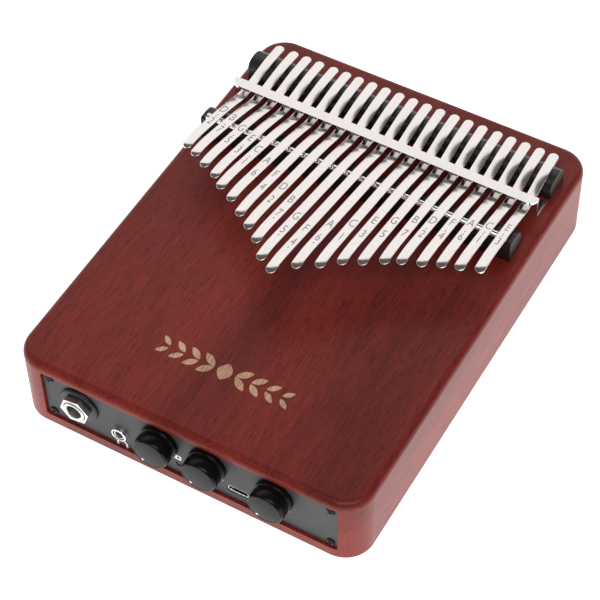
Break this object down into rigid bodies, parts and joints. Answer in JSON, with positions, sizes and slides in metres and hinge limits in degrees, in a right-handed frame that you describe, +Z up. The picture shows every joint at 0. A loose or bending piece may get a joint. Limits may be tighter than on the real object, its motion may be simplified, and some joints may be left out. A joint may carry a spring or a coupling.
{
  "type": "electro-acoustic thumb piano",
  "caption": "Hardwood block thumb piano with spring-steel tines over a saddle rod, a slotted pressure bracket and a front panel of knobs and sockets.",
  "frame": {"origin": "centre of the flat underside of the wooden block", "axes": "+X to the player's right, +Y from the control panel towards the tine tails, +Z up through the tines"},
  "size_m": [0.15, 0.205, 0.0598],
  "materials": {
    "mahogany": "satin lacquered red-brown hardwood, straight grain along the length",
    "black_wood": "black stained hardwood, satin",
    "panel_grey": "matte dark grey plate",
    "black_steel": "blackened cross-head screws",
    "black_plastic": "black moulded plastic",
    "knob_plastic": "black turned knob with one white index dot",
    "chrome": "bright plated steel",
    "shaft_steel": "bare steel shaft",
    "pot_steel": "plated steel can",
    "lamp": "small clear-tinted lamp",
    "circuit_board": "green solder mask",
    "foam": "black adhesive foam pad",
    "battery": "blue wrapped lithium cell",
    "pickup_brass": "thin brass disc",
    "wire_jacket": "black insulated wire",
    "screw_steel": "zinc-plated pan-head wood screws",
    "tine_steel": "bright nickel-plated spring steel with engraved grey marks"
  },
  "bodies": {
    "housing": {"body_block": "mahogany", "control_panel": "panel_grey", "panel_screw_1": "black_steel", "panel_screw_2": "black_steel", "panel_screw_3": "black_steel", "panel_screw_4": "black_steel", "output_bezel": "black_plastic", "output_jack": "black_plastic", "headphone_jack": "black_plastic", "output_nut": "chrome", "output_bush": "chrome", "headphone_ring": "chrome", "headphone_bush": "chrome", "z_bracket": "chrome", "saddle_rod": "chrome", "usb_socket": "chrome", "potentiometer_1": "pot_steel", "potentiometer_2": "pot_steel", "potentiometer_3": "pot_steel", "status_led": "lamp", "circuit_board": "circuit_board", "battery_pad": "foam", "battery": "battery", "pickup_disc": "pickup_brass", "pickup_wire": "wire_jacket", "battery_wire": "wire_jacket", "rear_bridge": "black_wood", "front_bridge": "black_wood", "bracket_screw_1": "screw_steel", "bracket_screw_2": "screw_steel", "bracket_screw_3": "screw_steel", "bracket_screw_4": "screw_steel", "bracket_screw_5": "screw_steel"},
    "dial_1": {"knob_1": "knob_plastic", "pot_shaft_1": "shaft_steel"},
    "dial_2": {"knob_2": "knob_plastic", "pot_shaft_2": "shaft_steel"},
    "dial_3": {"knob_3": "knob_plastic", "pot_shaft_3": "shaft_steel"},
    "key_01": {"tine_01": "tine_steel"},
    "key_02": {"tine_02": "tine_steel"},
    "key_03": {"tine_03": "tine_steel"},
    "key_04": {"tine_04": "tine_steel"},
    "key_05": {"tine_05": "tine_steel"},
    "key_06": {"tine_06": "tine_steel"},
    "key_07": {"tine_07": "tine_steel"},
    "key_08": {"tine_08": "tine_steel"},
    "key_09": {"tine_09": "tine_steel"},
    "key_10": {"tine_10": "tine_steel"},
    "key_11": {"tine_11": "tine_steel"},
    "key_12": {"tine_12": "tine_steel"},
    "key_13": {"tine_13": "tine_steel"},
    "key_14": {"tine_14": "tine_steel"},
    "key_15": {"tine_15": "tine_steel"},
    "key_16": {"tine_16": "tine_steel"},
    "key_17": {"tine_17": "tine_steel"},
    "key_18": {"tine_18": "tine_steel"},
    "key_19": {"tine_19": "tine_steel"},
    "key_20": {"tine_20": "tine_steel"},
    "key_21": {"tine_21": "tine_steel"}
  },
  "joints": [
    {"name": "dial_1_turn", "type": "hinge", "parent": "housing", "child": "dial_1", "pos_m": [-0.0099, -0.1, 0.0214], "axis": [0, 1, 0], "range_deg": [0, 300]},
    {"name": "dial_2_turn", "type": "hinge", "parent": "housing", "child": "dial_2", "pos_m": [0.0111, -0.1, 0.0214], "axis": [0, 1, 0], "range_deg": [0, 300]},
    {"name": "dial_3_turn", "type": "hinge", "parent": "housing", "child": "dial_3", "pos_m": [0.0395, -0.1, 0.0214], "axis": [0, 1, 0], "range_deg": [0, 300]},
    {"name": "key_01_flex", "type": "hinge", "parent": "housing", "child": "key_01", "pos_m": [-0.06354, 0.0337, 0.0474], "axis": [1, 0, 0], "range_deg": [-0.3, 1.2], "stiffness_Nm_per_rad": 6.58},
    {"name": "key_02_flex", "type": "hinge", "parent": "housing", "child": "key_02", "pos_m": [-0.05763, 0.0337, 0.0474], "axis": [1, 0, 0], "range_deg": [-0.3, 1.2], "stiffness_Nm_per_rad": 5.87},
    {"name": "key_03_flex", "type": "hinge", "parent": "housing", "child": "key_03", "pos_m": [-0.05104, 0.0337, 0.0474], "axis": [1, 0, 0], "range_deg": [-0.3, 1.2], "stiffness_Nm_per_rad": 5.09},
    {"name": "key_04_flex", "type": "hinge", "parent": "housing", "child": "key_04", "pos_m": [-0.0444, 0.0337, 0.0474], "axis": [1, 0, 0], "range_deg": [-0.3, 1.2], "stiffness_Nm_per_rad": 4.58},
    {"name": "key_05_flex", "type": "hinge", "parent": "housing", "child": "key_05", "pos_m": [-0.03832, 0.0337, 0.0474], "axis": [1, 0, 0], "range_deg": [-0.3, 1.2], "stiffness_Nm_per_rad": 4},
    {"name": "key_06_flex", "type": "hinge", "parent": "housing", "child": "key_06", "pos_m": [-0.03156, 0.0337, 0.0474], "axis": [1, 0, 0], "range_deg": [-0.3, 1.2], "stiffness_Nm_per_rad": 3.62},
    {"name": "key_07_flex", "type": "hinge", "parent": "housing", "child": "key_07", "pos_m": [-0.02476, 0.0337, 0.0474], "axis": [1, 0, 0], "range_deg": [-0.3, 1.2], "stiffness_Nm_per_rad": 3.18},
    {"name": "key_08_flex", "type": "hinge", "parent": "housing", "child": "key_08", "pos_m": [-0.01829, 0.0337, 0.0474], "axis": [1, 0, 0], "range_deg": [-0.3, 1.2], "stiffness_Nm_per_rad": 2.89},
    {"name": "key_09_flex", "type": "hinge", "parent": "housing", "child": "key_09", "pos_m": [-0.01183, 0.0337, 0.0474], "axis": [1, 0, 0], "range_deg": [-0.3, 1.2], "stiffness_Nm_per_rad": 2.63},
    {"name": "key_10_flex", "type": "hinge", "parent": "housing", "child": "key_10", "pos_m": [-0.00536, 0.0337, 0.0474], "axis": [1, 0, 0], "range_deg": [-0.3, 1.2], "stiffness_Nm_per_rad": 2.32},
    {"name": "key_11_flex", "type": "hinge", "parent": "housing", "child": "key_11", "pos_m": [0.0011, 0.0337, 0.0474], "axis": [1, 0, 0], "range_deg": [-0.3, 1.2], "stiffness_Nm_per_rad": 2.18},
    {"name": "key_12_flex", "type": "hinge", "parent": "housing", "child": "key_12", "pos_m": [0.00756, 0.0337, 0.0474], "axis": [1, 0, 0], "range_deg": [-0.3, 1.2], "stiffness_Nm_per_rad": 2.45},
    {"name": "key_13_flex", "type": "hinge", "parent": "housing", "child": "key_13", "pos_m": [0.0142, 0.0337, 0.0474], "axis": [1, 0, 0], "range_deg": [-0.3, 1.2], "stiffness_Nm_per_rad": 2.68},
    {"name": "key_14_flex", "type": "hinge", "parent": "housing", "child": "key_14", "pos_m": [0.02049, 0.0337, 0.0474], "axis": [1, 0, 0], "range_deg": [-0.3, 1.2], "stiffness_Nm_per_rad": 3.01},
    {"name": "key_15_flex", "type": "hinge", "parent": "housing", "child": "key_15", "pos_m": [0.02696, 0.0337, 0.0474], "axis": [1, 0, 0], "range_deg": [-0.3, 1.2], "stiffness_Nm_per_rad": 3.29},
    {"name": "key_16_flex", "type": "hinge", "parent": "housing", "child": "key_16", "pos_m": [0.03342, 0.0337, 0.0474], "axis": [1, 0, 0], "range_deg": [-0.3, 1.2], "stiffness_Nm_per_rad": 3.71},
    {"name": "key_17_flex", "type": "hinge", "parent": "housing", "child": "key_17", "pos_m": [0.03946, 0.0337, 0.0474], "axis": [1, 0, 0], "range_deg": [-0.3, 1.2], "stiffness_Nm_per_rad": 4.05},
    {"name": "key_18_flex", "type": "hinge", "parent": "housing", "child": "key_18", "pos_m": [0.0461, 0.0337, 0.0474], "axis": [1, 0, 0], "range_deg": [-0.3, 1.2], "stiffness_Nm_per_rad": 4.43},
    {"name": "key_19_flex", "type": "hinge", "parent": "housing", "child": "key_19", "pos_m": [0.05256, 0.0337, 0.0474], "axis": [1, 0, 0], "range_deg": [-0.3, 1.2], "stiffness_Nm_per_rad": 5},
    {"name": "key_20_flex", "type": "hinge", "parent": "housing", "child": "key_20", "pos_m": [0.05898, 0.0337, 0.0474], "axis": [1, 0, 0], "range_deg": [-0.3, 1.2], "stiffness_Nm_per_rad": 5.47},
    {"name": "key_21_flex", "type": "hinge", "parent": "housing", "child": "key_21", "pos_m": [0.06574, 0.0337, 0.0474], "axis": [1, 0, 0], "range_deg": [-0.3, 1.2], "stiffness_Nm_per_rad": 6.18}
  ]
}
